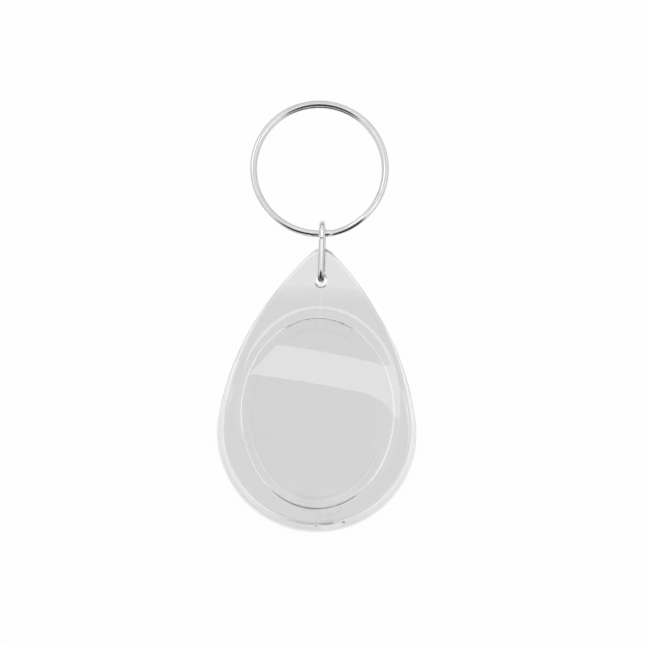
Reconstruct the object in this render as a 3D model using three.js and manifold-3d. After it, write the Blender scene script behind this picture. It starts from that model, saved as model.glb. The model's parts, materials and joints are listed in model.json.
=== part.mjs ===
// Clear drop-shaped keychain: a body with an oval pocket, a snap-in back cover, a wire link and a split ring.
// Sizes are in millimetres. It lies on its back: +Z comes out of the front window, +Y runs from the drop
// towards the ring, and the origin is the middle of the back cover's outer face.

import * as THREE from "three";
import { mergeVertices } from "three/addons/utils/BufferGeometryUtils.js";
import Module from "manifold-3d";

// Drop-shaped body
const dropWidth = 40;
const dropLength = 56.8;
const flankRadius = 56;
const tipRadius = 3.1;
const bodyThickness = 7.8;
const partingHeight = 1.2;
const wallDraft = 1.2;
const backEdgeRound = 0.6;

// Oval pocket, open to the back, under a low domed crown on the front
const pocketWidth = 30.2;
const pocketLength = 38;
const pocketDepth = 2.9;
const wallBelowPocket = 4.7;
const crownMargin = 1.8;
const crownDome = 1.2;

// Tab at the tip, relieved on the back, with the link's hole
const tabBlendLength = 5.2;
const holeDiameter = 2.5;
const holeFromTip = 6.35;
const holeEdgeRound = 0.35;

// Snap-in back cover, with a land round a shallow dish, that leaves a gap for a thin insert
const coverClearance = 0.15;
const insertGap = 0.5;
const coverLand = 1.8;
const coverDishDepth = 0.5;
const snapBeadHeight = 0.1;
const snapBeadWidth = 0.6;
const snapBeadFromBack = 1.4;
const snapGrooveDepth = 0.15;
const coverEdgeRound = 0.2;

// Round scoop in the back of the lower rim, to get a nail under the cover's edge
const pryScoopWidth = 5;
const pryScoopDepth = 0.7;
const pryScoopOffset = 2.7;

// Wire link
const linkWire = 1.25;
const linkLength = 12.55;
const linkBend = 1.8;
const linkTabClearance = 0.25;
const linkFloorGap = 0.1;
const linkSeatGap = 0.25;
const linkSeamFromTop = 3.95;
const linkSeamGap = 0.25;
const linkTurn = THREE.MathUtils.degToRad(-3.5);

// Split ring
const ringDiameter = 28;
const ringWireWidth = 1.25;
const ringWireThickness = 0.6;
const ringLayerGap = 0.44;
const ringWireChamfer = 0.22;
const ringStepAngle = THREE.MathUtils.degToRad(36);
const ringEndAngle = THREE.MathUtils.degToRad(-81);
const ringLean = THREE.MathUtils.degToRad(3.8);
const ringLinkClearance = 0.08;
const ringFloorGap = 0.02;

// Facets in half an oval, half an arc of the drop, an edge round, the crown's dome and half a round wire's
// section, the steps along the link and along one turn of the ring, and how far a cutting shape runs past
// what it cuts
const ovalFacets = 32;
const arcFacets = 12;
const roundFacets = 2;
const domeFacets = 6;
const wireFacets = 5;
const linkSteps = 64;
const stepsPerTurn = 60;
const cutMargin = 2;

// Places worked out from the sizes above
const roundRadius = dropWidth / 2;
const dropBottom = -(pocketLength / 2 + wallBelowPocket);
const dropTip = dropBottom + dropLength;
const roundCentre = dropBottom + roundRadius;
const tipCentre = dropTip - tipRadius;
const rimFront = bodyThickness - crownDome;
const crownEnd = pocketLength / 2 + crownMargin;
const middle = bodyThickness / 2;
const tabBack = linkFloorGap + linkWire + linkTabClearance;
const tabThickness = rimFront - tabBack;
const tabMiddle = tabBack + tabThickness / 2;
const holeCentre = dropTip - holeFromTip;
const linkHalfWidth = tabThickness / 2 + linkTabClearance + linkWire / 2;
const tabInBend = Math.max(0, (tabThickness - holeEdgeRound) / 2 - (linkHalfWidth - linkBend));
const linkRiseInTab = linkBend - Math.sqrt(linkBend ** 2 - tabInBend ** 2);
const linkBottom = holeCentre + holeDiameter / 2 - linkWire / 2 - linkSeatGap - linkRiseInTab;
const linkTop = linkBottom + linkLength - linkWire;
const ringStack = 2 * ringWireThickness + ringLayerGap;
const coilRadius = ringDiameter / 2 - ringWireWidth / 2;
const ringCornerReach = Math.max(
  Math.hypot(ringStack / 2, ringWireWidth / 2 - ringWireChamfer),
  Math.hypot(ringStack / 2 - ringWireChamfer, ringWireWidth / 2),
);
const ringHingeY = linkTop - linkWire / 2 - ringCornerReach - ringLinkClearance;
const ringHingeZ = tabMiddle - linkHalfWidth + linkWire / 2 + ringCornerReach + ringLinkClearance;
const ringReach = 2 * coilRadius + ringWireWidth / 2;
const coilSteps = Math.round(stepsPerTurn * (2 - ringStepAngle / (2 * Math.PI)));
const ringSlope = Math.asin((ringHingeZ - ringStack / 2 - ringFloorGap) / ringReach);

const wasm = await Module();
wasm.setup();

const clearPlastic = new THREE.MeshStandardMaterial({
  color: 0xdcdfe0,
  roughness: 0.06,
  metalness: 0,
  transparent: true,
  opacity: 0.4,
});
const clearCover = clearPlastic.clone();
const brightWire = new THREE.MeshStandardMaterial({ color: 0xc8c9cb, roughness: 0.14, metalness: 1 });
const brightRing = new THREE.MeshStandardMaterial({ color: 0xcfd0d2, roughness: 0.12, metalness: 1 });

// A closed geometry as a solid that can be joined and cut
function solidOf(geometry) {
  const bare = geometry.clone();
  bare.deleteAttribute("normal");
  bare.deleteAttribute("uv");
  const merged = mergeVertices(bare, 1e-5);
  const corners = merged.index.array;
  const triangles = [];
  for (let i = 0; i < corners.length; i += 3) {
    const [a, b, c] = corners.slice(i, i + 3);
    if (a !== b && b !== c && c !== a) triangles.push(a, b, c);
  }
  return new wasm.Manifold(
    new wasm.Mesh({
      numProp: 3,
      vertProperties: Float32Array.from(merged.attributes.position.array),
      triVerts: Uint32Array.from(triangles),
    }),
  );
}

// The geometry of a finished solid
function geometryOf(solid) {
  const mesh = solid.getMesh();
  const geometry = new THREE.BufferGeometry();
  geometry.setAttribute("position", new THREE.BufferAttribute(mesh.vertProperties, mesh.numProp));
  geometry.setIndex(new THREE.BufferAttribute(mesh.triVerts, 1));
  geometry.computeVertexNormals();
  return geometry;
}

// A flat outline carried from one height to another, with its edges rounded inwards
function slab(shape, low, high, edgeRound, facets) {
  const geometry = new THREE.ExtrudeGeometry(shape, {
    depth: high - low - 2 * edgeRound,
    bevelEnabled: edgeRound > 0,
    bevelThickness: edgeRound,
    bevelSize: edgeRound,
    bevelOffset: -edgeRound,
    bevelSegments: roundFacets,
    curveSegments: facets,
  });
  return solidOf(geometry.translate(0, 0, low + edgeRound));
}

function oval(width, length) {
  return new THREE.Shape().absellipse(0, 0, width / 2, length / 2, 0, 2 * Math.PI, false);
}

// Round lower end of the given radius, two long flank arcs and a small round tip, each tangent to the next
function dropOutline(radius) {
  const span = tipCentre - roundCentre;
  const fromRound = flankRadius - radius;
  const fromTip = flankRadius - tipRadius;
  const along = (span ** 2 + fromRound ** 2 - fromTip ** 2) / (2 * span);
  const across = Math.sqrt(fromRound ** 2 - along ** 2);
  const flankCentre = roundCentre + along;
  const low = Math.atan2(roundCentre - flankCentre, across);
  const high = Math.atan2(tipCentre - flankCentre, across);
  const shape = new THREE.Shape();
  shape.absarc(-across, flankCentre, flankRadius, low, high, false);
  shape.absarc(0, tipCentre, tipRadius, high, Math.PI - high, false);
  shape.absarc(across, flankCentre, flankRadius, Math.PI - high, Math.PI - low, false);
  shape.absarc(0, roundCentre, radius, Math.PI - low, 2 * Math.PI + low, false);
  return shape;
}

// The oval dome over the pocket, reaching down into the body
function domedCrown() {
  const profile = [new THREE.Vector2(0, middle), new THREE.Vector2(1, middle)];
  for (let i = domeFacets; i >= 0; i -= 1) {
    const out = i / domeFacets;
    profile.push(new THREE.Vector2(out, rimFront + crownDome * (1 - out ** 2)));
  }
  const geometry = new THREE.LatheGeometry(profile, 2 * ovalFacets).rotateX(Math.PI / 2);
  return solidOf(geometry.scale(pocketWidth / 2 + crownMargin, crownEnd, 1));
}

// The drop with its wall drafted in, from a parting line low on its side up to a front that is narrower round
// the lower end and runs out to the same tip
function draftedDrop() {
  const outline = dropOutline(roundRadius);
  const front = dropOutline(roundRadius - wallDraft);
  const levels = [[outline, 0], [outline, partingHeight], [front, rimFront]];
  const corners = levels.flatMap(([shape, height]) =>
    shape.getPoints(arcFacets).map((point) => [point.x, point.y, height]),
  );
  const tapered = wasm.Manifold.hull(corners);
  return tapered.intersect(slab(outline, 0, 2 * rimFront, backEdgeRound, arcFacets));
}

// What is taken off the back, past the cover, so that it rises in a soft curve to the tab
function tabRelief() {
  const start = crownEnd;
  const end = start + tabBlendLength;
  const half = (start + end) / 2;
  const past = dropTip + cutMargin;
  const profile = new THREE.Shape();
  profile.moveTo(start, 0);
  profile.bezierCurveTo(half, 0, half, tabBack, end, tabBack);
  profile.lineTo(past, tabBack);
  profile.lineTo(past, -cutMargin);
  profile.lineTo(start, -cutMargin);
  const width = dropWidth + 2 * cutMargin;
  const geometry = new THREE.ExtrudeGeometry(profile, { depth: width, bevelEnabled: false, curveSegments: 10 });
  const sideways = new THREE.Matrix4().makeBasis(
    new THREE.Vector3(0, 1, 0),
    new THREE.Vector3(0, 0, 1),
    new THREE.Vector3(1, 0, 0),
  );
  return solidOf(geometry.applyMatrix4(sideways).translate(-width / 2, 0, 0));
}

// The hole with its two edges rounded over
function linkHole() {
  const mouth = holeDiameter / 2 + holeEdgeRound;
  const past = tabThickness / 2 + cutMargin;
  const straight = tabThickness / 2 - holeEdgeRound;
  const profile = new THREE.Path();
  profile.moveTo(0, -past);
  profile.lineTo(mouth, -past);
  profile.lineTo(mouth, -tabThickness / 2);
  profile.absarc(mouth, -straight, holeEdgeRound, 1.5 * Math.PI, Math.PI, true);
  profile.absarc(mouth, straight, holeEdgeRound, Math.PI, Math.PI / 2, true);
  profile.lineTo(mouth, past);
  profile.lineTo(0, past);
  const geometry = new THREE.LatheGeometry(profile.getPoints(roundFacets), 4 * wireFacets);
  return solidOf(geometry.rotateX(Math.PI / 2).translate(0, holeCentre, tabMiddle));
}

// Shallow round scoop about a point on the pocket's edge
function pryScoop() {
  const radius = ((pryScoopWidth / 2) ** 2 + pryScoopDepth ** 2) / (2 * pryScoopDepth);
  const geometry = new THREE.SphereGeometry(radius, 2 * ovalFacets, ovalFacets);
  return solidOf(geometry.translate(pryScoopOffset, -pocketLength / 2, pryScoopDepth - radius));
}

// A thin oval band with sloping edges, standing out by its height from an oval of the given size
function beadBand(width, length, height, bandWidth, centre) {
  const full = oval(width + 2 * height, length + 2 * height);
  const geometry = new THREE.ExtrudeGeometry(full, {
    depth: bandWidth - 2 * height,
    bevelThickness: height,
    bevelSize: height,
    bevelOffset: -height,
    bevelSegments: 1,
    curveSegments: ovalFacets,
  });
  return solidOf(geometry.translate(0, 0, centre - bandWidth / 2 + height));
}

function fobBody() {
  const pocket = slab(oval(pocketWidth, pocketLength), -cutMargin, pocketDepth, 0, ovalFacets);
  const grooveWidth = snapBeadWidth + 2 * coverClearance;
  const groove = beadBand(pocketWidth, pocketLength, snapGrooveDepth, grooveWidth, snapBeadFromBack);
  return draftedDrop()
    .subtract(tabRelief())
    .add(domedCrown())
    .subtract(pocket)
    .subtract(groove)
    .subtract(pryScoop())
    .subtract(linkHole());
}

function backCover() {
  const width = pocketWidth - 2 * coverClearance;
  const length = pocketLength - 2 * coverClearance;
  const top = pocketDepth - insertGap;
  const dish = oval(width - 2 * coverLand, length - 2 * coverLand);
  return slab(oval(width, length), 0, top, coverEdgeRound, ovalFacets)
    .add(beadBand(width, length, snapBeadHeight, snapBeadWidth, snapBeadFromBack))
    .subtract(slab(dish, top - coverDishDepth, top + cutMargin, 0, ovalFacets));
}

// Middle line of the link's wire: a rounded rectangle about the tab's middle plane, open at the seam
class LinkPath extends THREE.Curve {
  constructor() {
    super();
    const front = linkHalfWidth;
    const back = -linkHalfWidth;
    const quarter = Math.PI / 2;
    const seam = linkTop + linkWire / 2 - linkSeamFromTop;
    this.flat = new THREE.Path();
    this.flat.moveTo(seam + linkSeamGap / 2, front);
    this.flat.lineTo(linkTop - linkBend, front);
    this.flat.absarc(linkTop - linkBend, front - linkBend, linkBend, quarter, 0, true);
    this.flat.absarc(linkTop - linkBend, back + linkBend, linkBend, 0, -quarter, true);
    this.flat.absarc(linkBottom + linkBend, back + linkBend, linkBend, -quarter, -2 * quarter, true);
    this.flat.absarc(linkBottom + linkBend, front - linkBend, linkBend, 2 * quarter, quarter, true);
    this.flat.lineTo(seam - linkSeamGap / 2, front);
  }

  getPoint(t, target = new THREE.Vector3()) {
    const point = this.flat.getPoint(t);
    return target.set(0, point.x, point.y);
  }
}

function connectorLink() {
  const section = new THREE.Shape().absarc(0, 0, linkWire / 2, 0, 2 * Math.PI, false);
  return new THREE.ExtrudeGeometry(section, {
    steps: linkSteps,
    extrudePath: new LinkPath(),
    curveSegments: wireFacets,
  });
}

// Middle line of the ring's flat wire: once round in the back layer, a step up, and once round in front.
// The wire's section stays square to the ring all the way.
class CoilPath extends THREE.Curve {
  angleAt(t) {
    const start = ringEndAngle + ringStepAngle;
    return start + t * (4 * Math.PI - ringStepAngle);
  }

  getPoint(t, target = new THREE.Vector3()) {
    const angle = this.angleAt(t);
    const wound = angle - this.angleAt(0);
    const rise = THREE.MathUtils.smoothstep(wound, 2 * Math.PI - ringStepAngle, 2 * Math.PI);
    const layerPitch = ringWireThickness + ringLayerGap;
    const height = (rise - 0.5) * layerPitch;
    return target.set(coilRadius * Math.cos(angle), coilRadius * Math.sin(angle), height);
  }

  computeFrenetFrames(steps) {
    const tangents = [];
    const normals = [];
    const binormals = [];
    for (let i = 0; i <= steps; i += 1) {
      const t = this.getUtoTmapping(i / steps);
      const angle = this.angleAt(t);
      tangents.push(this.getTangent(t));
      normals.push(new THREE.Vector3(0, 0, 1));
      binormals.push(new THREE.Vector3(Math.cos(angle), Math.sin(angle), 0));
    }
    return { tangents, normals, binormals };
  }
}

// Flat wire section with its corners taken off: thickness across, width up
function ringSection() {
  const x = ringWireThickness / 2;
  const y = ringWireWidth / 2;
  const c = ringWireChamfer;
  const section = new THREE.Shape();
  section.moveTo(x, -y + c);
  section.lineTo(x, y - c);
  section.lineTo(x - c, y);
  section.lineTo(-x + c, y);
  section.lineTo(-x, y - c);
  section.lineTo(-x, -y + c);
  section.lineTo(-x + c, -y);
  section.lineTo(x - c, -y);
  return section;
}

function splitRing() {
  const geometry = new THREE.ExtrudeGeometry(ringSection(), { steps: coilSteps, extrudePath: new CoilPath() });
  return geometry.translate(0, coilRadius, 0);
}

// Least distance between the two turns of the ring, over the corners of its wire's sections
function leastCoilGap() {
  const path = new CoilPath();
  const frames = path.computeFrenetFrames(coilSteps);
  const corners = ringSection().getPoints();
  const rings = path.getSpacedPoints(coilSteps).map((centre, i) =>
    corners.map((corner) =>
      centre.clone().addScaledVector(frames.normals[i], corner.x).addScaledVector(frames.binormals[i], corner.y),
    ),
  );
  const halfTurn = stepsPerTurn / 2;
  let least = Infinity;
  for (let i = 0; i < rings.length; i += 1) {
    for (let j = i + halfTurn; j < rings.length; j += 1) {
      for (const a of rings[i]) {
        for (const b of rings[j]) least = Math.min(least, a.distanceTo(b));
      }
    }
  }
  return least;
}

function piece(name, geometry, material) {
  const mesh = new THREE.Mesh(geometry, material);
  mesh.name = name;
  return mesh;
}

console.log(`split ring: least gap between its turns ${leastCoilGap().toFixed(2)} mm`);

// The link stands across the tab, turned a little about its own length
const linkPlace = new THREE.Group();
linkPlace.position.z = tabMiddle;
linkPlace.rotation.y = linkTurn;
linkPlace.add(piece("connector_link", connectorLink(), brightWire));

// The ring slopes from where it lies in the link down to the surface under the keychain, and leans a little
// to one side
const ringHinge = new THREE.Group();
ringHinge.position.set(0, ringHingeY, ringHingeZ);
ringHinge.rotation.set(-ringSlope, 0, ringLean);
ringHinge.add(piece("split_ring", splitRing(), brightRing));

const keychain = new THREE.Group();
keychain.name = "acrylic_keychain";
keychain.add(piece("fob_body", geometryOf(fobBody()), clearPlastic));
keychain.add(piece("back_cover", geometryOf(backCover()), clearCover));
keychain.add(linkPlace);
keychain.add(ringHinge);

export default keychain;
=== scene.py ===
"""Looks for a clear drop-shaped keychain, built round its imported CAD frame.

The body and its back cover are clear acrylic mouldings, the link and the split ring are nickel-plated wire.
Shapes are written in millimetres, in the frame's own axes, and become metres when a piece is finished.
"""

import json
import math

import bmesh
import bpy
from mathutils import Matrix, Vector


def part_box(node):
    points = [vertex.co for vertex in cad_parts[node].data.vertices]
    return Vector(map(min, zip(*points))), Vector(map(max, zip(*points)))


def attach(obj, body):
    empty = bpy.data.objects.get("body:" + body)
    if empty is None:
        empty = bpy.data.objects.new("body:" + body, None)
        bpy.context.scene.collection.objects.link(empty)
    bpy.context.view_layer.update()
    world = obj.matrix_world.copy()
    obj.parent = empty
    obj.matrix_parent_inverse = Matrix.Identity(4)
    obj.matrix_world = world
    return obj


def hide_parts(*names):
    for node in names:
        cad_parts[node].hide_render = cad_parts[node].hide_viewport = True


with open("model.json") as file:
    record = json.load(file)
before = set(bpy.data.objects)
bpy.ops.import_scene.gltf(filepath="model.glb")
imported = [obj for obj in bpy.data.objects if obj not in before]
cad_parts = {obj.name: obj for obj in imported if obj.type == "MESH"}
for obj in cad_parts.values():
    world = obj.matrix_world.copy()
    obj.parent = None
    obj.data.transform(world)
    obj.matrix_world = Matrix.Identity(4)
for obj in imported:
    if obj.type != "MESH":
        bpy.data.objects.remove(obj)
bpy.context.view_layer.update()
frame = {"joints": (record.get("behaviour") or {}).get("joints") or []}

MM = 0.001
BODY_LOW, BODY_HIGH = (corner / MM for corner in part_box("fob_body"))
COVER_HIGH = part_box("back_cover")[1] / MM
JOINTS = {joint["name"]: joint for joint in frame["joints"]}

# Drop-shaped body, with its wall drafted in towards the front from a parting line low on its side
DROP_WIDTH = 40.0
FLANK_RADIUS = 56.0
TIP_RADIUS = 3.1
PARTING_HEIGHT = 1.2
PARTING_RIDGE = 0.03
PARTING_WIDTH = 0.12
WALL_DRAFT = 1.2
WALL_RIPPLE = 0.03
WALL_RIPPLES = 3
FRONT_EDGE_ROUND = 0.35
BACK_EDGE_ROUND = 0.6
TAB_BACK = 1.6
TAB_EDGE_ROUND = 0.3
TAB_RISE_START = 20.8
TAB_RISE_END = 26.0
DROP_BOTTOM = BODY_LOW.y
DROP_TIP = BODY_HIGH.y

# Domed crown over the pocket, which runs out into the level rim in a soft bend
CROWN_TOP = BODY_HIGH.z
CROWN_DOME = 1.2
CROWN_BEND_SHARE = 0.035
CROWN_HALF_WIDTH = 16.9
CROWN_HALF_LENGTH = 20.8
RIM_FRONT = CROWN_TOP - CROWN_DOME

# Link's hole in the tab
TIP_TO_HOLE = 6.35
HOLE_CENTRE = DROP_TIP - TIP_TO_HOLE
HOLE_RADIUS = 1.25
HOLE_EDGE_ROUND = 0.2

# Oval pocket, and the round scoop in the rim below it. A hold is how far in from a rounding a ring of
# the flat face lies, so that the face shades flat up to there
POCKET_HALF_WIDTH = 15.1
POCKET_HALF_LENGTH = 19.0
POCKET_DEPTH = 2.9
POCKET_MOUTH_ROUND = 0.2
POCKET_CORNER_ROUND = 0.12
POCKET_CORNER_HOLD = 4 * POCKET_CORNER_ROUND
GROOVE_DEPTH = 0.15
GROOVE_CENTRE = 1.4
GROOVE_WIDTH = 0.9
PRY_SCOOP_WIDTH = 5.0
PRY_SCOOP_DEPTH = 0.7
PRY_SCOOP_OFFSET = 2.7

# Back cover: a plate with a flat land round a shallow dish
COVER_CLEARANCE = 0.15
COVER_TOP = COVER_HIGH.z
COVER_EDGE_ROUND = 0.2
COVER_EDGE_HOLD = 3 * COVER_EDGE_ROUND
COVER_LAND = 1.5
COVER_DISH_DEPTH = 0.5
COVER_DISH_EDGE = 0.9
BEAD_HEIGHT = 0.1
BEAD_WIDTH = 0.6

# Wire link, measured along the middle of its wire
LINK_WIRE = 1.25
LINK_LENGTH = 11.3
LINK_HALF_WIDTH = 3.375
LINK_MIDDLE = (TAB_BACK + RIM_FRONT) / 2
LINK_BOTTOM = JOINTS["link_swing"]["pos_m"][1] / MM
LINK_TOP = LINK_BOTTOM + LINK_LENGTH
LINK_BEND = 1.8
LINK_TURN = math.radians(-3.5)
LINK_SEAM_BELOW_TOP = 3.95
LINK_SEAM = LINK_TOP + LINK_WIRE / 2 - LINK_SEAM_BELOW_TOP
LINK_SEAM_GAP = 0.16
WIRE_END_ROUND = 0.14

# Split ring. Its lower turn is a little smaller than the upper one, but not where the link holds both
RING_HINGE = Vector(JOINTS["ring_fold"]["pos_m"]) / MM
RING_DIAMETER = 28.0
RING_WIRE_WIDTH = 1.25
RING_WIRE_SQUARENESS = 2.1
RING_STACK = 1.64
RING_TURN_GAP = 0.04
RING_TURN_OFFSET = 0.16
RING_OFFSET_START = -1.0
RING_OFFSET_FULL = -0.5
RING_STEP_ANGLE = math.radians(36)
RING_END_ANGLE = math.radians(-81)
RING_LEAN = math.radians(3.8)
RING_FLOOR_GAP = 0.02
RING_END_ROUND = 0.25

# Points along the outline, rings across each kind of surface, and points round the wires
FLANK_STEPS = 64
TIP_STEPS = 24
ROUND_STEPS = 160
DOME_RINGS = 20
BEND_STEPS = 10
FACE_RINGS = 24
WALL_RINGS = 30
ROUND_RINGS = 7
SMALL_ROUND_RINGS = 4
WIRE_POINTS = 28
SCOOP_POINTS = 64
LINK_BEND_RINGS = 14
TURN_RINGS = 180
SHARP_EDGE = math.radians(32)
CUT_MARGIN = 1.0


# Shapes

def ease(value, start, end):
    """0 before start, 1 after end and a soft rise in between."""
    share = min(max((value - start) / (end - start), 0.0), 1.0)
    return share * share * (3 - 2 * share)


def quarter(rings):
    """Angles that divide a quarter turn into equal steps, with both ends."""
    return [math.pi / 2 * step / rings for step in range(rings + 1)]


class DropOutline:
    """The body seen from the front: a round lower end, two long flanks and a small round tip."""

    def __init__(self, round_radius):
        round_centre = DROP_BOTTOM + DROP_WIDTH / 2
        tip_centre = DROP_TIP - TIP_RADIUS
        span = tip_centre - round_centre
        from_round = FLANK_RADIUS - round_radius
        from_tip = FLANK_RADIUS - TIP_RADIUS
        along = (span**2 + from_round**2 - from_tip**2) / (2 * span)
        across = math.sqrt(from_round**2 - along**2)
        flank_centre = round_centre + along
        low = math.atan2(round_centre - flank_centre, across)
        high = math.atan2(tip_centre - flank_centre, across)
        self.arcs = [
            (Vector((-across, flank_centre)), FLANK_RADIUS, low, high, FLANK_STEPS),
            (Vector((0, tip_centre)), TIP_RADIUS, high, math.pi - high, TIP_STEPS),
            (Vector((across, flank_centre)), FLANK_RADIUS, math.pi - high, math.pi - low, FLANK_STEPS),
            (Vector((0, round_centre)), round_radius, math.pi - low, 2 * math.pi + low, ROUND_STEPS),
        ]

    def points(self, inset_at):
        """Points along the outline, each moved in from the edge by inset_at of its y."""
        found = []
        for centre, radius, start, end, steps in self.arcs:
            for step in range(steps):
                angle = start + (end - start) * step / steps
                outward = Vector((math.cos(angle), math.sin(angle)))
                edge = centre + radius * outward
                found.append(edge - inset_at(edge.y) * outward)
        return found


OUTLINE = DropOutline(DROP_WIDTH / 2)
FRONT_OUTLINE = DropOutline(DROP_WIDTH / 2 - WALL_DRAFT)
DIRECTIONS = [point.normalized() for point in OUTLINE.points(lambda y: 0.0)]


def oval(half_width, half_length):
    """Points of an oval about the origin, in the same directions as the outline's points."""
    found = []
    for way in DIRECTIONS:
        reach = half_width * half_length / math.hypot(half_length * way.x, half_width * way.y)
        found.append(reach * way)
    return found


def between(inner, outer, share):
    """The points that lie a share of the way from the inner points to the outer ones."""
    return [a.lerp(b, share) for a, b in zip(inner, outer)]


def ring_at(points, height_at):
    """The flat points lifted to height_at of their y."""
    return [Vector((point.x, point.y, height_at(point.y))) for point in points]


def back_height(y):
    """The back: level, then a rise to the tab with a soft start and end."""
    share = min(max((y - TAB_RISE_START) / (TAB_RISE_END - TAB_RISE_START), 0.0), 1.0)
    return TAB_BACK * share**3 * (10 - 15 * share + 6 * share**2)


def back_round(y):
    """The rounding of the back's outer edge, which is finer on the tab."""
    return BACK_EDGE_ROUND + (TAB_EDGE_ROUND - BACK_EDGE_ROUND) * ease(y, TAB_RISE_START, TAB_RISE_END)


def wall_ring(height_at, inset_at):
    """The outer wall at height_at of y, moved in by inset_at of y.

    It draws in from the parting line upwards.
    """
    ring = []
    for low, high in zip(OUTLINE.points(inset_at), FRONT_OUTLINE.points(inset_at)):
        height = height_at(low.y)
        share = max(height - PARTING_HEIGHT, 0.0) / (RIM_FRONT - PARTING_HEIGHT)
        point = low.lerp(high, share)
        ring.append(Vector((point.x, point.y, height)))
    return ring


def parting_height(y):
    """The parting line: level on the drop, and just above the back's rounding on the tab."""
    return max(PARTING_HEIGHT, back_height(y) + back_round(y) + PARTING_WIDTH)


def dome_height(share):
    """The dome's height at a share of the way from its middle to its foot."""
    return RIM_FRONT + CROWN_DOME * (1 - share**2)


def crown_oval(share):
    """The crown's oval at a share of its full size."""
    return oval(share * CROWN_HALF_WIDTH, share * CROWN_HALF_LENGTH)


def crown_rings():
    """The dome from its middle out, and the soft bend from it to the level rim."""
    dome_end = 1 - CROWN_BEND_SHARE
    rings = []
    for step in range(1, DOME_RINGS + 1):
        share = dome_end * step / DOME_RINGS
        rings.append(ring_at(crown_oval(share), lambda y: dome_height(share)))
    above_rim = dome_height(dome_end) - RIM_FRONT
    for step in range(1, BEND_STEPS + 1):
        left = 1 - step / BEND_STEPS
        share = 1 + CROWN_BEND_SHARE * (1 - 2 * left)
        rings.append(ring_at(crown_oval(share), lambda y: RIM_FRONT + above_rim * left**2))
    return rings


def front_rings():
    """The level rim round the crown, and the rounding from it to the drafted wall."""
    inner = crown_oval(1 + CROWN_BEND_SHARE)
    outer = FRONT_OUTLINE.points(lambda y: PARTING_RIDGE + FRONT_EDGE_ROUND)
    rings = []
    for step in range(1, FACE_RINGS + 1):
        rings.append(ring_at(between(inner, outer, step / FACE_RINGS), lambda y: RIM_FRONT))
    for angle in quarter(ROUND_RINGS)[1:]:
        height = RIM_FRONT - FRONT_EDGE_ROUND * (1 - math.cos(angle))
        inset = PARTING_RIDGE + FRONT_EDGE_ROUND * (1 - math.sin(angle))
        rings.append(wall_ring(lambda y: height, lambda y: inset))
    return rings


def wall_rings():
    """The drafted wall from the front's rounding down to the parting line, with the mould's faint ripples."""
    rings = []
    for step in range(1, WALL_RINGS):
        share = step / WALL_RINGS
        inset = PARTING_RIDGE + WALL_RIPPLE * (1 - math.cos(2 * math.pi * WALL_RIPPLES * share)) / 2

        def height(y):
            top = RIM_FRONT - FRONT_EDGE_ROUND
            return top + share * (parting_height(y) + PARTING_WIDTH / 2 - top)

        rings.append(wall_ring(height, lambda y: inset))
    return rings


def parting_rings():
    """The outer wall's fine ridge, left where the two halves of the mould meet."""
    rings = []
    for side, proud in ((1, 0.0), (1, 1.0), (-1, 1.0), (-1, 0.0)):
        offset = side * (PARTING_WIDTH / 2 - proud * PARTING_RIDGE)
        inset = PARTING_RIDGE * (1 - proud)
        rings.append(wall_ring(lambda y: parting_height(y) + offset, lambda y: inset))
    return rings


def back_rings():
    """The rounding from the outer wall to the back, and the back in to the pocket's mouth."""
    rings = []
    for angle in reversed(quarter(ROUND_RINGS)):
        def height(y):
            return back_height(y) + back_round(y) * (1 - math.cos(angle))

        def inset(y):
            return PARTING_RIDGE + back_round(y) * (1 - math.sin(angle))

        rings.append(wall_ring(height, inset))
    outer = [point.to_2d() for point in rings[-1]]
    inner = pocket_oval(-POCKET_MOUTH_ROUND)
    for step in range(1, FACE_RINGS + 1):
        rings.append(ring_at(between(outer, inner, step / FACE_RINGS), back_height))
    return rings


def pocket_oval(inset):
    """The pocket's oval, moved in by inset."""
    return oval(POCKET_HALF_WIDTH - inset, POCKET_HALF_LENGTH - inset)


def pocket_rings():
    """The pocket's rounded mouth, its wall with the snap groove, and the inside of the window."""
    rings = []
    for angle in quarter(SMALL_ROUND_RINGS)[1:]:
        inset = -POCKET_MOUTH_ROUND * (1 - math.sin(angle))
        height = POCKET_MOUTH_ROUND * (1 - math.cos(angle))
        rings.append(ring_at(pocket_oval(inset), lambda y: height))
    groove_low = GROOVE_CENTRE - GROOVE_WIDTH / 2
    groove_high = GROOVE_CENTRE + GROOVE_WIDTH / 2
    for inset, height in (
        (0.0, groove_low),
        (-GROOVE_DEPTH, groove_low + GROOVE_DEPTH),
        (-GROOVE_DEPTH, groove_high - GROOVE_DEPTH),
        (0.0, groove_high),
    ):
        rings.append(ring_at(pocket_oval(inset), lambda y: height))
    for angle in quarter(ROUND_RINGS):
        inset = POCKET_CORNER_ROUND * (1 - math.cos(angle))
        height = POCKET_DEPTH - POCKET_CORNER_ROUND * (1 - math.sin(angle))
        rings.append(ring_at(pocket_oval(inset), lambda y: height))
    for inset in (POCKET_CORNER_HOLD, POCKET_HALF_WIDTH / 2):
        rings.append(ring_at(pocket_oval(inset), lambda y: POCKET_DEPTH))
    return rings


def body_rings():
    """The body from the middle of its crown, round its edge and its back, to the middle of its pocket."""
    outside = crown_rings() + front_rings() + wall_rings() + parting_rings() + back_rings()
    return outside + pocket_rings()


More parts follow.
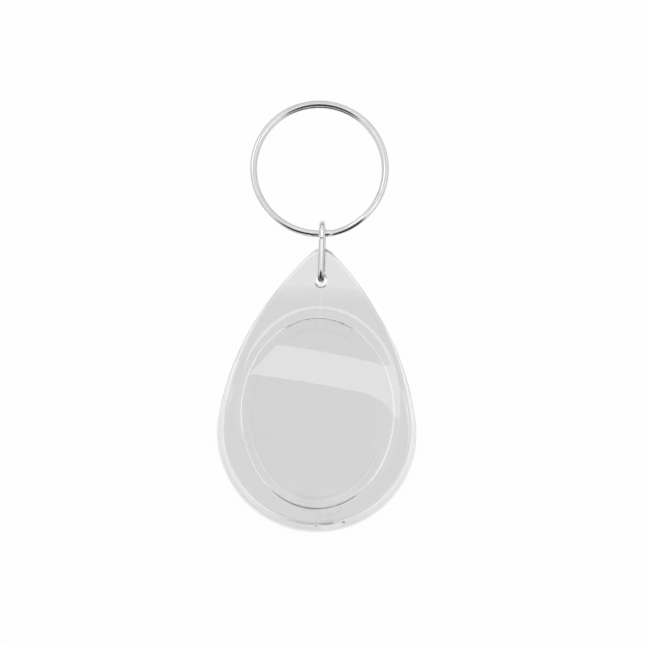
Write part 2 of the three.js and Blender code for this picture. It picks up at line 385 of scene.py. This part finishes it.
def cover_rings():
    """The cover from the middle of its outer face, round its edge, to the middle of its dish."""
    half_width = POCKET_HALF_WIDTH - COVER_CLEARANCE
    half_length = POCKET_HALF_LENGTH - COVER_CLEARANCE
    profile = [(half_width / 2, 0.0), (COVER_EDGE_HOLD, 0.0)]
    for angle in quarter(SMALL_ROUND_RINGS):
        inset = COVER_EDGE_ROUND * (1 - math.sin(angle))
        profile.append((inset, COVER_EDGE_ROUND * (1 - math.cos(angle))))
    bead_low = GROOVE_CENTRE - BEAD_WIDTH / 2
    for step in range(ROUND_RINGS + 1):
        share = step / ROUND_RINGS
        profile.append((-BEAD_HEIGHT * math.sin(math.pi * share), bead_low + BEAD_WIDTH * share))
    for angle in reversed(quarter(SMALL_ROUND_RINGS)):
        inset = COVER_EDGE_ROUND * (1 - math.sin(angle))
        profile.append((inset, COVER_TOP - COVER_EDGE_ROUND * (1 - math.cos(angle))))
    for step in range(BEND_STEPS + 1):
        share = step / BEND_STEPS
        inset = COVER_LAND + COVER_DISH_EDGE * share
        profile.append((inset, COVER_TOP - COVER_DISH_DEPTH * ease(share, 0, 1)))
    profile.append((half_width / 2, COVER_TOP - COVER_DISH_DEPTH))
    return [ring_at(oval(half_width - inset, half_length - inset), lambda y: z) for inset, z in profile]


def wire_section(middle, across, up, half_width, half_height, squareness=2.0):
    """Points round a wire: squareness 2 is an oval, and more is flatter with rounder corners."""
    power = 2 / squareness
    found = []
    for point in range(WIRE_POINTS):
        angle = 2 * math.pi * point / WIRE_POINTS
        x = math.copysign(abs(math.cos(angle)) ** power, math.cos(angle))
        y = math.copysign(abs(math.sin(angle)) ** power, math.sin(angle))
        found.append(middle + half_width * x * across + half_height * y * up)
    return found


def link_stations():
    """Middle and outward direction of the link's wire, from its seam round to its seam."""
    front = LINK_HALF_WIDTH
    ahead = Vector((0, 0, 1))
    above_seam = LINK_SEAM + LINK_SEAM_GAP / 2
    below_seam = LINK_SEAM - LINK_SEAM_GAP / 2
    stations = [(Vector((0, above_seam, front)), ahead)]
    stations.append((Vector((0, above_seam + WIRE_END_ROUND, front)), ahead))
    flat = LINK_HALF_WIDTH - LINK_BEND
    corners = (
        (LINK_TOP - LINK_BEND, flat, 90),
        (LINK_TOP - LINK_BEND, -flat, 0),
        (LINK_BOTTOM + LINK_BEND, -flat, -90),
        (LINK_BOTTOM + LINK_BEND, flat, -180),
    )
    for y, z, start in corners:
        centre = Vector((0, y, z))
        for angle in quarter(LINK_BEND_RINGS):
            turned = math.radians(start) - angle
            outward = Vector((0, math.cos(turned), math.sin(turned)))
            stations.append((centre + LINK_BEND * outward, outward))
    stations.append((Vector((0, below_seam - WIRE_END_ROUND, front)), ahead))
    stations.append((Vector((0, below_seam, front)), ahead))
    return stations


def link_rings():
    """The link's wire in its place across the tab, turned a little about its own length."""
    stations = link_stations()
    place = Matrix.Translation((0, 0, LINK_MIDDLE)) @ Matrix.Rotation(LINK_TURN, 4, "Y")
    sideways = Vector((1, 0, 0))
    radius = LINK_WIRE / 2
    rings = []
    for count, (middle, outward) in enumerate(stations):
        at_end = count in (0, len(stations) - 1)
        size = radius - WIRE_END_ROUND if at_end else radius
        section = wire_section(middle, sideways, outward, size, size)
        rings.append([place @ point for point in section])
    return rings


def split_ring_rings():
    """Two turns of flattened wire lying on each other, with the step where the wire changes layer."""
    thickness = (RING_STACK - RING_TURN_GAP) / 2
    pitch = thickness + RING_TURN_GAP
    radius = (RING_DIAMETER - RING_WIRE_WIDTH) / 2
    start = RING_END_ANGLE + RING_STEP_ANGLE
    wound = 4 * math.pi - RING_STEP_ANGLE
    steps = round(TURN_RINGS * wound / (2 * math.pi))
    reach = 2 * radius + RING_WIRE_WIDTH / 2
    slope = math.asin((RING_HINGE.z - RING_STACK / 2 - RING_FLOOR_GAP) / reach)
    place = (
        Matrix.Translation(RING_HINGE)
        @ Matrix.Rotation(-slope, 4, "X")
        @ Matrix.Rotation(RING_LEAN, 4, "Z")
        @ Matrix.Translation((0, radius, 0))
    )
    upright = Vector((0, 0, 1))
    rings = []
    for step in range(steps + 1):
        turned = wound * step / steps
        angle = start + turned
        outward = Vector((math.cos(angle), math.sin(angle), 0))
        rise = ease(turned, 2 * math.pi - RING_STEP_ANGLE, 2 * math.pi)
        away_from_link = ease(outward.y, RING_OFFSET_START, RING_OFFSET_FULL)
        wound_radius = radius - RING_TURN_OFFSET * away_from_link * (1 - rise)
        middle = wound_radius * outward + (rise - 0.5) * pitch * upright
        to_end = radius * min(turned, wound - turned)
        shrink = RING_END_ROUND * (1 - math.sqrt(1 - max(0.0, 1 - to_end / RING_END_ROUND) ** 2))
        half_width = RING_WIRE_WIDTH / 2 - shrink
        half_height = thickness / 2 - shrink
        section = wire_section(middle, outward, upright, half_width, half_height, RING_WIRE_SQUARENESS)
        rings.append([place @ point for point in section])
    return rings


def grown_from(vertex, fresh):
    """The fresh vertex at the other end of one of this vertex's edges."""
    ends = (edge.other_vert(vertex) for edge in vertex.link_edges)
    return next(end for end in ends if end in fresh)


def loft(rings):
    """A closed skin drawn through the rings in turn, with a flat face over its first and last ring."""
    mesh = bmesh.new()
    loop = bmesh.ops.create_circle(mesh, segments=len(rings[0]), radius=1)["verts"]
    edges = mesh.edges[:]
    for vertex, place in zip(loop, rings[0]):
        vertex.co = place
    for ring in rings[1:]:
        grown = bmesh.ops.extrude_edge_only(mesh, edges=edges)["geom"]
        fresh = {item for item in grown if isinstance(item, bmesh.types.BMVert)}
        grown_edges = [item for item in grown if isinstance(item, bmesh.types.BMEdge)]
        edges = [edge for edge in grown_edges if fresh.issuperset(edge.verts)]
        loop = [grown_from(vertex, fresh) for vertex in loop]
        for vertex, place in zip(loop, ring):
            vertex.co = place
    bmesh.ops.holes_fill(mesh, edges=[edge for edge in mesh.edges if edge.is_boundary])
    bmesh.ops.recalc_face_normals(mesh, faces=mesh.faces)
    return mesh


def hole_cutter():
    """The link's hole with both its edges rounded over, following the tab's two faces."""
    centre = Vector((0, HOLE_CENTRE, 0))
    across = Vector((1, 0, 0))
    up = Vector((0, 1, 0))
    mouth = HOLE_RADIUS + HOLE_EDGE_ROUND
    steps = [(mouth, -CUT_MARGIN)]
    for angle in quarter(ROUND_RINGS):
        steps.append((mouth - HOLE_EDGE_ROUND * math.sin(angle), HOLE_EDGE_ROUND * (1 - math.cos(angle))))
    circles = [(wire_section(centre, across, up, radius, radius), depth) for radius, depth in steps]
    back = [ring_at(circle, lambda y: back_height(y) + depth) for circle, depth in circles]
    front = [ring_at(circle, lambda y: RIM_FRONT - depth) for circle, depth in circles]
    return loft(back + front[::-1])


def pry_scoop_cutter():
    """The shallow round scoop that lets a nail under the cover's edge."""
    radius = ((PRY_SCOOP_WIDTH / 2) ** 2 + PRY_SCOOP_DEPTH**2) / (2 * PRY_SCOOP_DEPTH)
    mesh = bmesh.new()
    bmesh.ops.create_uvsphere(mesh, u_segments=SCOOP_POINTS, v_segments=SCOOP_POINTS, radius=radius)
    middle = Vector((PRY_SCOOP_OFFSET, -POCKET_HALF_LENGTH, PRY_SCOOP_DEPTH - radius))
    bmesh.ops.translate(mesh, vec=middle, verts=mesh.verts)
    return mesh


def object_of(name, mesh):
    """The finished mesh as an object at the origin, in metres."""
    bmesh.ops.scale(mesh, vec=Vector((MM, MM, MM)), verts=mesh.verts)
    data = bpy.data.meshes.new(name)
    mesh.to_mesh(data)
    mesh.free()
    made = bpy.data.objects.new(name, data)
    bpy.context.scene.collection.objects.link(made)
    return made


def cut(piece, cutter):
    """Takes the cutter's shape out of the piece."""
    tool = object_of("cutter", cutter)
    modifier = piece.modifiers.new("cut", "BOOLEAN")
    modifier.object = tool
    modifier.solver = "EXACT"
    bpy.context.view_layer.objects.active = piece
    bpy.ops.object.modifier_apply(modifier=modifier.name)
    bpy.data.objects.remove(tool)


def dress(piece, body, node, material):
    """Shades the piece, gives it its finish and sets it in the CAD node's place."""
    piece.data.shade_smooth()
    piece.data.set_sharp_from_angle(angle=SHARP_EDGE)
    flatten = piece.modifiers.new("flat faces stay flat", "WEIGHTED_NORMAL")
    flatten.keep_sharp = True
    piece.data.materials.append(material)
    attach(piece, body)
    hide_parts(node)


# Finishes

class Field:
    """A value that varies over a surface. Arithmetic on it adds Math nodes."""

    def __init__(self, nodes, socket):
        self.nodes = nodes
        self.socket = socket

    def math(self, operation, first, second=0.0):
        return self.nodes.add("ShaderNodeMath", {"operation": operation}, {0: first, 1: second})

    def __add__(self, other):
        return self.math("ADD", self, other)

    def __radd__(self, other):
        return self.math("ADD", other, self)

    def __sub__(self, other):
        return self.math("SUBTRACT", self, other)

    def __rsub__(self, other):
        return self.math("SUBTRACT", other, self)

    def __mul__(self, other):
        return self.math("MULTIPLY", self, other)

    def __rmul__(self, other):
        return self.math("MULTIPLY", other, self)

    def larger(self, other):
        return self.math("MAXIMUM", self, other)

    def unsigned(self):
        return self.math("ABSOLUTE", self)


class Nodes:
    """The nodes of one material or of the world."""

    def __init__(self, owner):
        owner.use_nodes = True
        self.tree = owner.node_tree
        self.tree.nodes.clear()

    def add(self, kind, settings=None, sockets=None, output=0):
        """Makes a node, sets it up, fills its sockets with values or fields and returns one output."""
        node = self.tree.nodes.new(kind)
        for name, value in (settings or {}).items():
            setattr(node, name, value)
        for name, value in (sockets or {}).items():
            if isinstance(value, Field):
                self.tree.links.new(value.socket, node.inputs[name])
            else:
                node.inputs[name].default_value = value
        return Field(self, node.outputs[output]) if node.outputs else None

    def noise(self, place, scale, detail):
        return self.add("ShaderNodeTexNoise", None, {"Vector": place, "Scale": scale, "Detail": detail})

    def ramp(self, value, low, high):
        """0 where the value is under low, 1 where it is over high."""
        return self.add("ShaderNodeMapRange", {"clamp": True}, {0: value, 1: low, 2: high, 3: 0.0, 4: 1.0})


def material_nodes(name):
    """A new material, and its nodes to be filled."""
    material = bpy.data.materials.new(name)
    return material, Nodes(material)


def object_place(nodes):
    """The place on a piece in its own axes, in metres."""
    return nodes.add("ShaderNodeTexCoord", output="Object")


# What the acrylic lets through: clear, with painted shadow on its back where it lies on the paper,
# standing for the paper's shade seen through the plastic. Lengths that a finish uses are in metres, as the
# places on a finished piece are
CLEAR_TONE = (0.98, 0.98, 0.98, 1)
# Darker tone for the painted shadow on the back and for the fine specks
PAINTED_SHADOW_AND_SPECK_TONE = (0.52, 0.52, 0.52, 1)
# Painted shadow lies within this height above the back, and fades out by the next
PAINTED_SHADOW_DEPTH = 0.00075
PAINTED_SHADOW_END = 1.1 * PAINTED_SHADOW_DEPTH
# How much of the painted shadow the tab keeps, as it stands off the paper
PAINTED_SHADOW_ON_TAB = 0.66
# Edge round the drop's lower end that the painted shadow leaves out, so it shows lit
UNSHADED_EDGE_START = 0.0183
UNSHADED_EDGE_END = 0.0187
UNSHADED_EDGE_FADE = -0.003
UNSHADED_EDGE_TOP = 0.006
FRONT_COAT_LOW = 0.0030
WALL_COAT_LOW = 0.0003
COAT_FADE = 0.0005
BESIDE_POCKET_START = 1.05
BESIDE_POCKET_END = 1.1
WELD_START = 0.0172
WELD_END = 0.0250
WELD_FADE = 0.0008
WELD_WIDTH = 0.00012
WELD_CORE = 0.3 * WELD_WIDTH
WELD_PALENESS = 0.2
SPECK_SPACING = 0.005
SPECK_RADIUS = 0.00011
SPECK_CORE = 0.5 * SPECK_RADIUS
SMEARS_PER_METRE = 70
SMEAR_DETAIL = 4
SMEAR_START = 0.45
SMEAR_FULL = 0.75
POLISHED_ROUGHNESS = 0.01
SMEAR_ROUGHNESS = 0.02
ACRYLIC_IOR = 1.49


def split_place(nodes, place):
    """The three parts of a place or a direction."""
    return [nodes.add("ShaderNodeSeparateXYZ", None, {0: place}, output=axis) for axis in "XYZ"]


def weld_line(nodes, x, y):
    """A hair-thin paler line below the link's hole, where the melt met again."""
    line = 1.0 - nodes.ramp(x.unsigned(), WELD_CORE, WELD_WIDTH)
    begun = nodes.ramp(y, WELD_START, WELD_START + WELD_FADE)
    ended = nodes.ramp(y, WELD_END, WELD_END + WELD_FADE)
    return line * begun * (1.0 - ended)


def tab_share(nodes, y):
    """0 on the drop, 1 on the tab, and between them where the back rises."""
    return nodes.ramp(y, TAB_RISE_START * MM, TAB_RISE_END * MM)


def unshaded_edge(nodes, x, y):
    """The back's outer edge round the drop's lower end, which the painted shadow leaves out, so it shows lit.
    """
    below = y - (DROP_BOTTOM + DROP_WIDTH / 2) * MM
    square = x * x + below * below
    edge = nodes.ramp(square, UNSHADED_EDGE_START**2, UNSHADED_EDGE_END**2)
    return edge * (1.0 - nodes.ramp(y, UNSHADED_EDGE_FADE, UNSHADED_EDGE_TOP))


def painted_shadow_on_back(nodes, place):
    """Painted shadow on the back faces, for the paper's shade seen through them: left off their unshaded
    edge, also where the back rises to the tab, and weaker on the tab.
    """
    x, y, z = split_place(nodes, place)
    tab = tab_share(nodes, y)
    above_back = z - TAB_BACK * MM * tab
    strength = (1.0 - (1 - PAINTED_SHADOW_ON_TAB) * tab) * (1.0 - WELD_PALENESS * weld_line(nodes, x, y))
    strength = strength * (1.0 - unshaded_edge(nodes, x, y))
    return strength * (1.0 - nodes.ramp(above_back, PAINTED_SHADOW_DEPTH, PAINTED_SHADOW_END))


def hard_coat(nodes, place):
    """Where the coat lies: on the front, and on the outer wall beside the pocket."""
    x, y, z = split_place(nodes, place)
    across = x * (1 / (POCKET_HALF_WIDTH * MM))
    along = y * (1 / (POCKET_HALF_LENGTH * MM))
    beside_pocket = nodes.ramp(across * across + along * along, BESIDE_POCKET_START, BESIDE_POCKET_END)
    front = nodes.ramp(z, FRONT_COAT_LOW, FRONT_COAT_LOW + COAT_FADE)
    above_back = z - TAB_BACK * MM * tab_share(nodes, y)
    wall = nodes.ramp(above_back, WALL_COAT_LOW, WALL_COAT_LOW + COAT_FADE)
    return front.larger(beside_pocket * wall)


def clear_acrylic(name):
    """Polished clear acrylic under a hard coat, with thin smears, fine specks and painted shadow on its back,
    where it lies on the paper.
    """
    material, nodes = material_nodes(name)
    place = object_place(nodes)
    smear = nodes.ramp(nodes.noise(place, SMEARS_PER_METRE, SMEAR_DETAIL), SMEAR_START, SMEAR_FULL)
    near_speck = nodes.add("ShaderNodeTexVoronoi", None, {"Vector": place, "Scale": 1 / SPECK_SPACING})
    speck = 1.0 - nodes.ramp(near_speck, SPECK_CORE / SPECK_SPACING, SPECK_RADIUS / SPECK_SPACING)
    # Mix factor: painted shadow on the back, or a speck
    colour = nodes.add("ShaderNodeMix", {"data_type": "RGBA"}, {
        0: painted_shadow_on_back(nodes, place).larger(speck),
        6: CLEAR_TONE,
        7: PAINTED_SHADOW_AND_SPECK_TONE,
    }, output=2)
    shine = nodes.add("ShaderNodeBsdfPrincipled", None, {
        "Base Color": colour,
        "Roughness": POLISHED_ROUGHNESS + SMEAR_ROUGHNESS * smear,
        "IOR": ACRYLIC_IOR,
        "Transmission Weight": 1.0,
        "Coat Weight": hard_coat(nodes, place),
        "Coat Roughness": POLISHED_ROUGHNESS,
    })
    nodes.add("ShaderNodeOutputMaterial", None, {"Surface": shine})
    return material


# Plating of the link and the ring
NICKEL_TONE = (0.75, 0.75, 0.75, 1)
DULL_NICKEL_TONE = (0.67, 0.67, 0.67, 1)
LINK_ROUGHNESS = 0.1
RING_ROUGHNESS = 0.13
DULL_ROUGHNESS = 0.06
DULL_PATCHES_PER_METRE = 150
DULL_PATCH_DETAIL = 2
DULL_START = 0.45
DULL_FULL = 0.65


def bright_nickel(name, roughness):
    """Nickel-plated wire, dulled a little in patches."""
    material, nodes = material_nodes(name)
    place = object_place(nodes)
    patches = nodes.noise(place, DULL_PATCHES_PER_METRE, DULL_PATCH_DETAIL)
    dulled = nodes.ramp(patches, DULL_START, DULL_FULL)
    colour = nodes.add("ShaderNodeMix", {"data_type": "RGBA"}, {
        0: dulled,
        6: NICKEL_TONE,
        7: DULL_NICKEL_TONE,
    }, output=2)
    shine = nodes.add("ShaderNodeBsdfPrincipled", None, {
        "Base Color": colour,
        "Metallic": 1.0,
        "Roughness": roughness + DULL_ROUGHNESS * dulled,
    })
    nodes.add("ShaderNodeOutputMaterial", None, {"Surface": shine})
    return material


# Stage

# White paper below the keychain, in millimetres. A ray that is bent through the plastic counts as glossy
# too, so it needs no glow of its own
PAPER_HALF = 1000.0
PAPER_BELOW = 0.02
PAPER_GLOW = 0.97
PAPER_GLOW_GLOSSY = 0.9
PAPER_GLOW_THROUGH = 0.0
PAPER_TONE = (0.95, 0.95, 0.95, 1)

# Room round the keychain, by the parts of the direction that one looks in. A pair is where a fade
# begins and ends
ROOM_LEVEL = 0.95
BOARD_LEVEL = 0.7
BOARD_SIDES = (0.2, 0.24)
BOARD_NEAR = (-0.06, -0.03)
BOARD_FAR = (0.38, 0.42)
DARK_LEVEL = 0.03
DARK_NARROWING = 0.7
DARK_EDGE = (0.02, 0.13)
DARK_SIDES = (0.5, 0.62)
LOW_FADE = (0.0, 0.42)

# Window overhead in millimetres: its corners, and then the quarter of an oval that rounds its bent end
WINDOW_LEVEL = 2.0
WINDOW_HEIGHT = 600.0
WINDOW_CORNERS = [(-143, 138), (-83, 187), (206, 156)]
WINDOW_BEND_CENTRE = Vector((80, 50))
WINDOW_BEND_WIDTH = 126
WINDOW_BEND_LENGTH = 64
WINDOW_BEND_STEPS = 12

# Soft lamp at the upper left, in metres
LAMP_PLACE = Vector((-0.6, 0.5, 1.2))
LAMP_SIZE = 0.4
LAMP_LEVEL = 0.9

# Camera, in metres but for its sensor
CAMERA_TILT = math.radians(8)
CAMERA_SIDE = math.radians(-1.5)
CAMERA_ROLL = math.radians(1.75)
CAMERA_DISTANCE = 2.0
CAMERA_TARGET = Vector((0.0006, 0.01894, 0.0))
FRAME_WIDTH = 0.1299
SENSOR_WIDTH = 36.0


def ray_kind(nodes, kind):
    """1 for a ray of this kind, and 0 for another."""
    return nodes.add("ShaderNodeLightPath", output=f"Is {kind} Ray")


def white_paper():
    """White paper, evenly lit as the camera sees it. Metal and plastic show more of its shadow."""
    material, nodes = material_nodes("white_paper")
    glow = (
        PAPER_GLOW * ray_kind(nodes, "Camera")
        + PAPER_GLOW_GLOSSY * ray_kind(nodes, "Glossy")
        + PAPER_GLOW_THROUGH * ray_kind(nodes, "Transmission")
    )
    matt = nodes.add("ShaderNodeBsdfDiffuse", None, {"Color": PAPER_TONE})
    white = nodes.add("ShaderNodeEmission", None, {"Strength": 1.0})
    surface = nodes.add("ShaderNodeMixShader", None, {0: glow, 1: matt, 2: white})
    nodes.add("ShaderNodeOutputMaterial", None, {"Surface": surface})
    return material


def floor():
    """The paper that the keychain lies on."""
    mesh = bmesh.new()
    bmesh.ops.create_grid(mesh, x_segments=1, y_segments=1, size=PAPER_HALF)
    bmesh.ops.translate(mesh, vec=(0, 0, -PAPER_BELOW), verts=mesh.verts)
    made = object_of("floor", mesh)
    made.data.materials.append(white_paper())


def studio_world():
    """A pale room with a grey board overhead, dark on the camera's side and low down all round."""
    world = bpy.data.worlds.new("studio")
    bpy.context.scene.world = world
    nodes = Nodes(world)
    way = nodes.add("ShaderNodeTexCoord", output="Generated")
    x, y, z = split_place(nodes, way)
    sideways = x.unsigned()
    across = 1.0 - nodes.ramp(sideways, *BOARD_SIDES)
    board = across * nodes.ramp(y, *BOARD_NEAR) * (1.0 - nodes.ramp(y, *BOARD_FAR))
    behind = nodes.ramp(0.0 - y - DARK_NARROWING * sideways, *DARK_EDGE)
    behind = behind * (1.0 - nodes.ramp(sideways, *DARK_SIDES))
    lit = (1.0 - behind) * nodes.ramp(z, *LOW_FADE)
    level = DARK_LEVEL + lit * (ROOM_LEVEL - (ROOM_LEVEL - BOARD_LEVEL) * board)
    shown = nodes.add("ShaderNodeBackground", None, {"Color": (1, 1, 1, 1), "Strength": level})
    white = nodes.add("ShaderNodeBackground", None, {"Color": (1, 1, 1, 1), "Strength": 1.0})
    both = nodes.add("ShaderNodeMixShader", None, {0: ray_kind(nodes, "Camera"), 1: shown, 2: white})
    nodes.add("ShaderNodeOutputWorld", None, {"Surface": both})


def bent_window():
    """A bright window above, bent down at one end, whose reflection crosses the dome."""
    outline = list(WINDOW_CORNERS)
    for angle in quarter(WINDOW_BEND_STEPS):
        reach = Vector((WINDOW_BEND_WIDTH * math.cos(angle), WINDOW_BEND_LENGTH * math.sin(angle)))
        outline.append(WINDOW_BEND_CENTRE + reach)
    mesh = bmesh.new()
    corners = bmesh.ops.create_circle(mesh, segments=len(outline), radius=1, cap_ends=True)["verts"]
    for corner, (x, y) in zip(corners, outline):
        corner.co = (x, y, WINDOW_HEIGHT)
    made = object_of("window", mesh)
    material, nodes = material_nodes("window_light")
    light = nodes.add("ShaderNodeEmission", None, {"Strength": WINDOW_LEVEL})
    nodes.add("ShaderNodeOutputMaterial", None, {"Surface": light})
    made.data.materials.append(material)
    made.visible_camera = False


def soft_lamp():
    """A flat lamp aimed at the keychain. Its level is how bright its own face looks, with 1 as white."""
    lamp = bpy.data.lights.new("upper_left_panel", "AREA")
    lamp.shape = "RECTANGLE"
    lamp.size = LAMP_SIZE
    lamp.size_y = LAMP_SIZE
    lamp.energy = LAMP_LEVEL * math.pi * LAMP_SIZE * LAMP_SIZE
    made = bpy.data.objects.new("upper_left_panel", lamp)
    bpy.context.scene.collection.objects.link(made)
    aim = (LAMP_PLACE - CAMERA_TARGET).to_track_quat("Z", "Y")
    made.matrix_world = Matrix.Translation(LAMP_PLACE) @ aim.to_matrix().to_4x4()


def camera():
    """A long lens above the keychain, tilted as the photograph is."""
    lens = bpy.data.cameras.new("camera")
    lens.sensor_width = SENSOR_WIDTH
    lens.lens = SENSOR_WIDTH * CAMERA_DISTANCE / FRAME_WIDTH
    made = bpy.data.objects.new("camera", lens)
    bpy.context.scene.collection.objects.link(made)
    made.matrix_world = (
        Matrix.Translation(CAMERA_TARGET)
        @ Matrix.Rotation(CAMERA_TILT, 4, "X")
        @ Matrix.Rotation(CAMERA_SIDE, 4, "Y")
        @ Matrix.Rotation(CAMERA_ROLL, 4, "Z")
        @ Matrix.Translation((0, 0, CAMERA_DISTANCE))
    )
    bpy.context.scene.camera = made


# Making

camera()
floor()
studio_world()
bent_window()
soft_lamp()
bpy.context.scene.view_settings.view_transform = "Standard"

fob = object_of("clear_drop_body", loft(body_rings()))
cut(fob, hole_cutter())
cut(fob, pry_scoop_cutter())
dress(fob, "fob", "fob_body", clear_acrylic("clear_body"))

cover = object_of("oval_back_cover", loft(cover_rings()))
dress(cover, "cover", "back_cover", clear_acrylic("clear_cover"))

link = object_of("wire_link", loft(link_rings()))
dress(link, "link", "connector_link", bright_nickel("link_nickel", LINK_ROUGHNESS))

ring = object_of("two_turn_split_ring", loft(split_ring_rings()))
dress(ring, "ring", "split_ring", bright_nickel("ring_nickel", RING_ROUGHNESS))
